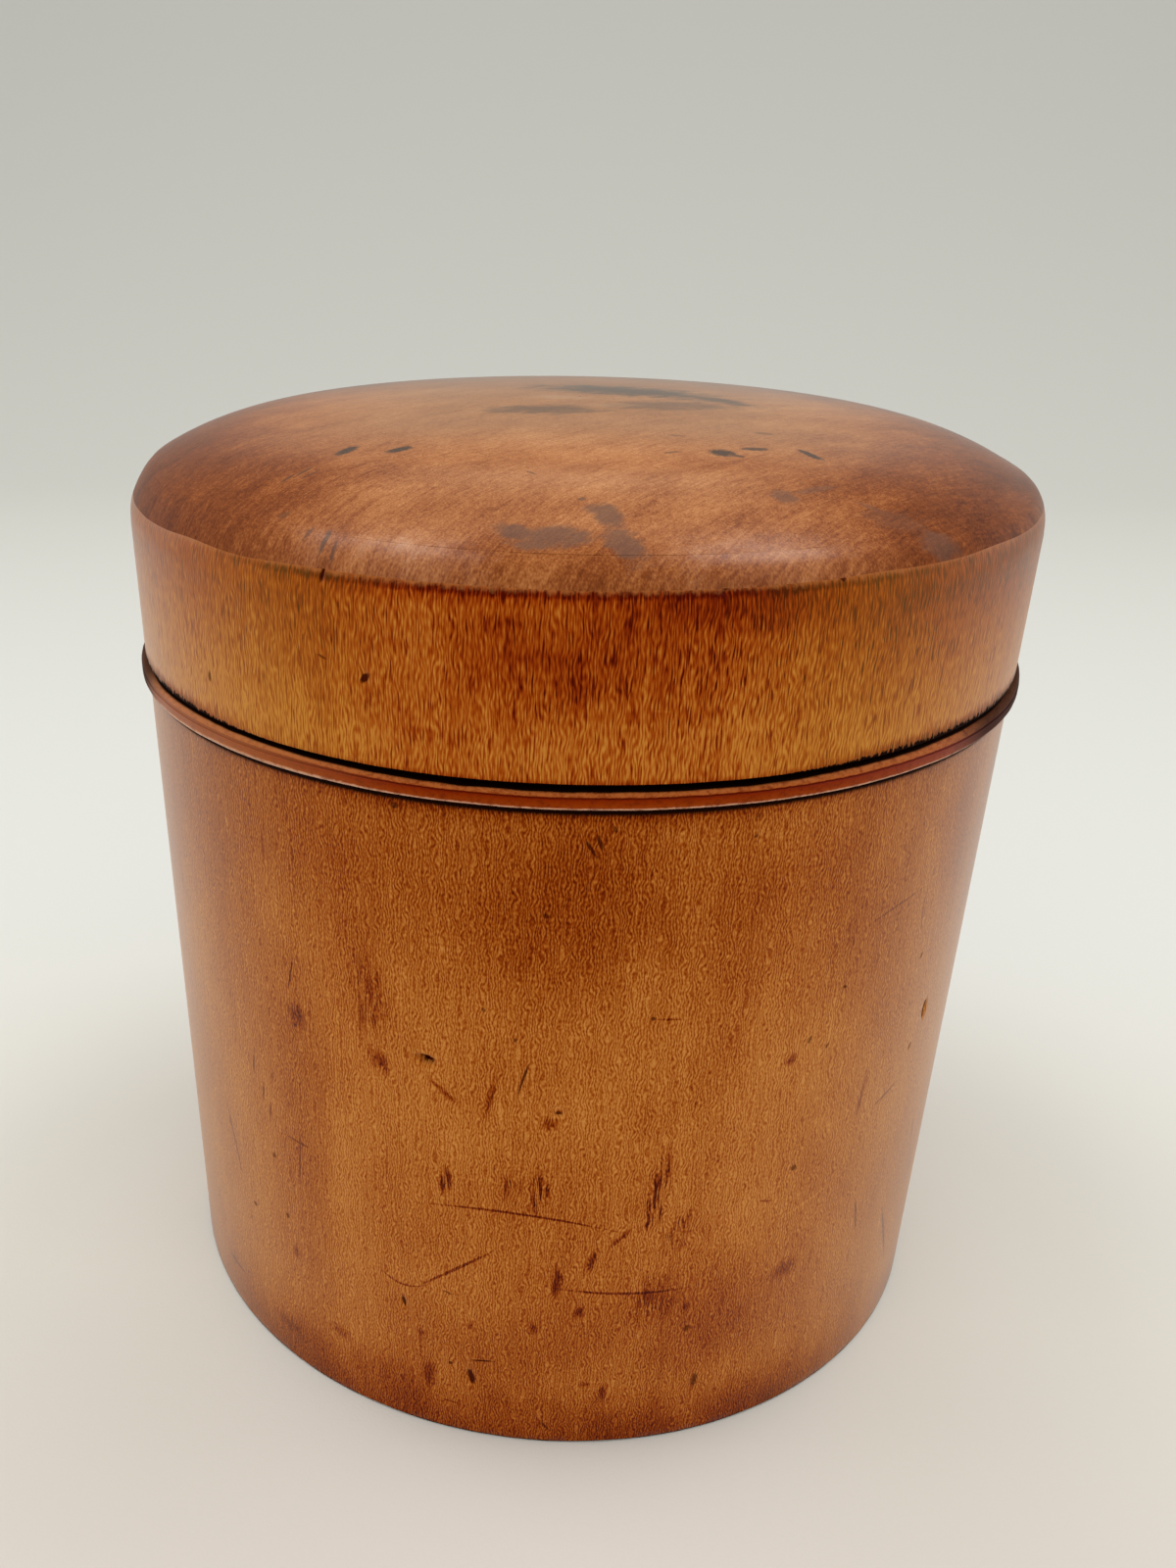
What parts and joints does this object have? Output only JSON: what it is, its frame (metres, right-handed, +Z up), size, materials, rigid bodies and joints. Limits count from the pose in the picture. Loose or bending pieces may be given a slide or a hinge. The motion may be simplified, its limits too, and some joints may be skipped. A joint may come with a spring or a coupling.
{
  "type": "turned wooden box",
  "caption": "Round turned wooden box with straight sides, a thin bead below the joint and a shallow domed lid that lifts off a spigot.",
  "frame": {"origin": "centre of the base, on the surface that the box stands on", "axes": "+Z up along the turning axis, +Y away from the front that the picture shows, +X to its right"},
  "size_m": [0.1014, 0.1014, 0.1088],
  "materials": {
    "body_wood": "aged wax polish, satin, with scratches, stains and darkened joints",
    "lid_wood": "aged wax polish, satin, golden on the side and browner on the end grain of the top"
  },
  "bodies": {
    "body": {"body": "body_wood"},
    "lid": {"lid": "lid_wood"}
  },
  "joints": [
    {"name": "lid_lift", "type": "slide", "parent": "body", "child": "lid", "axis": [0, 0, 1], "range_m": [0, 0.1]}
  ]
}
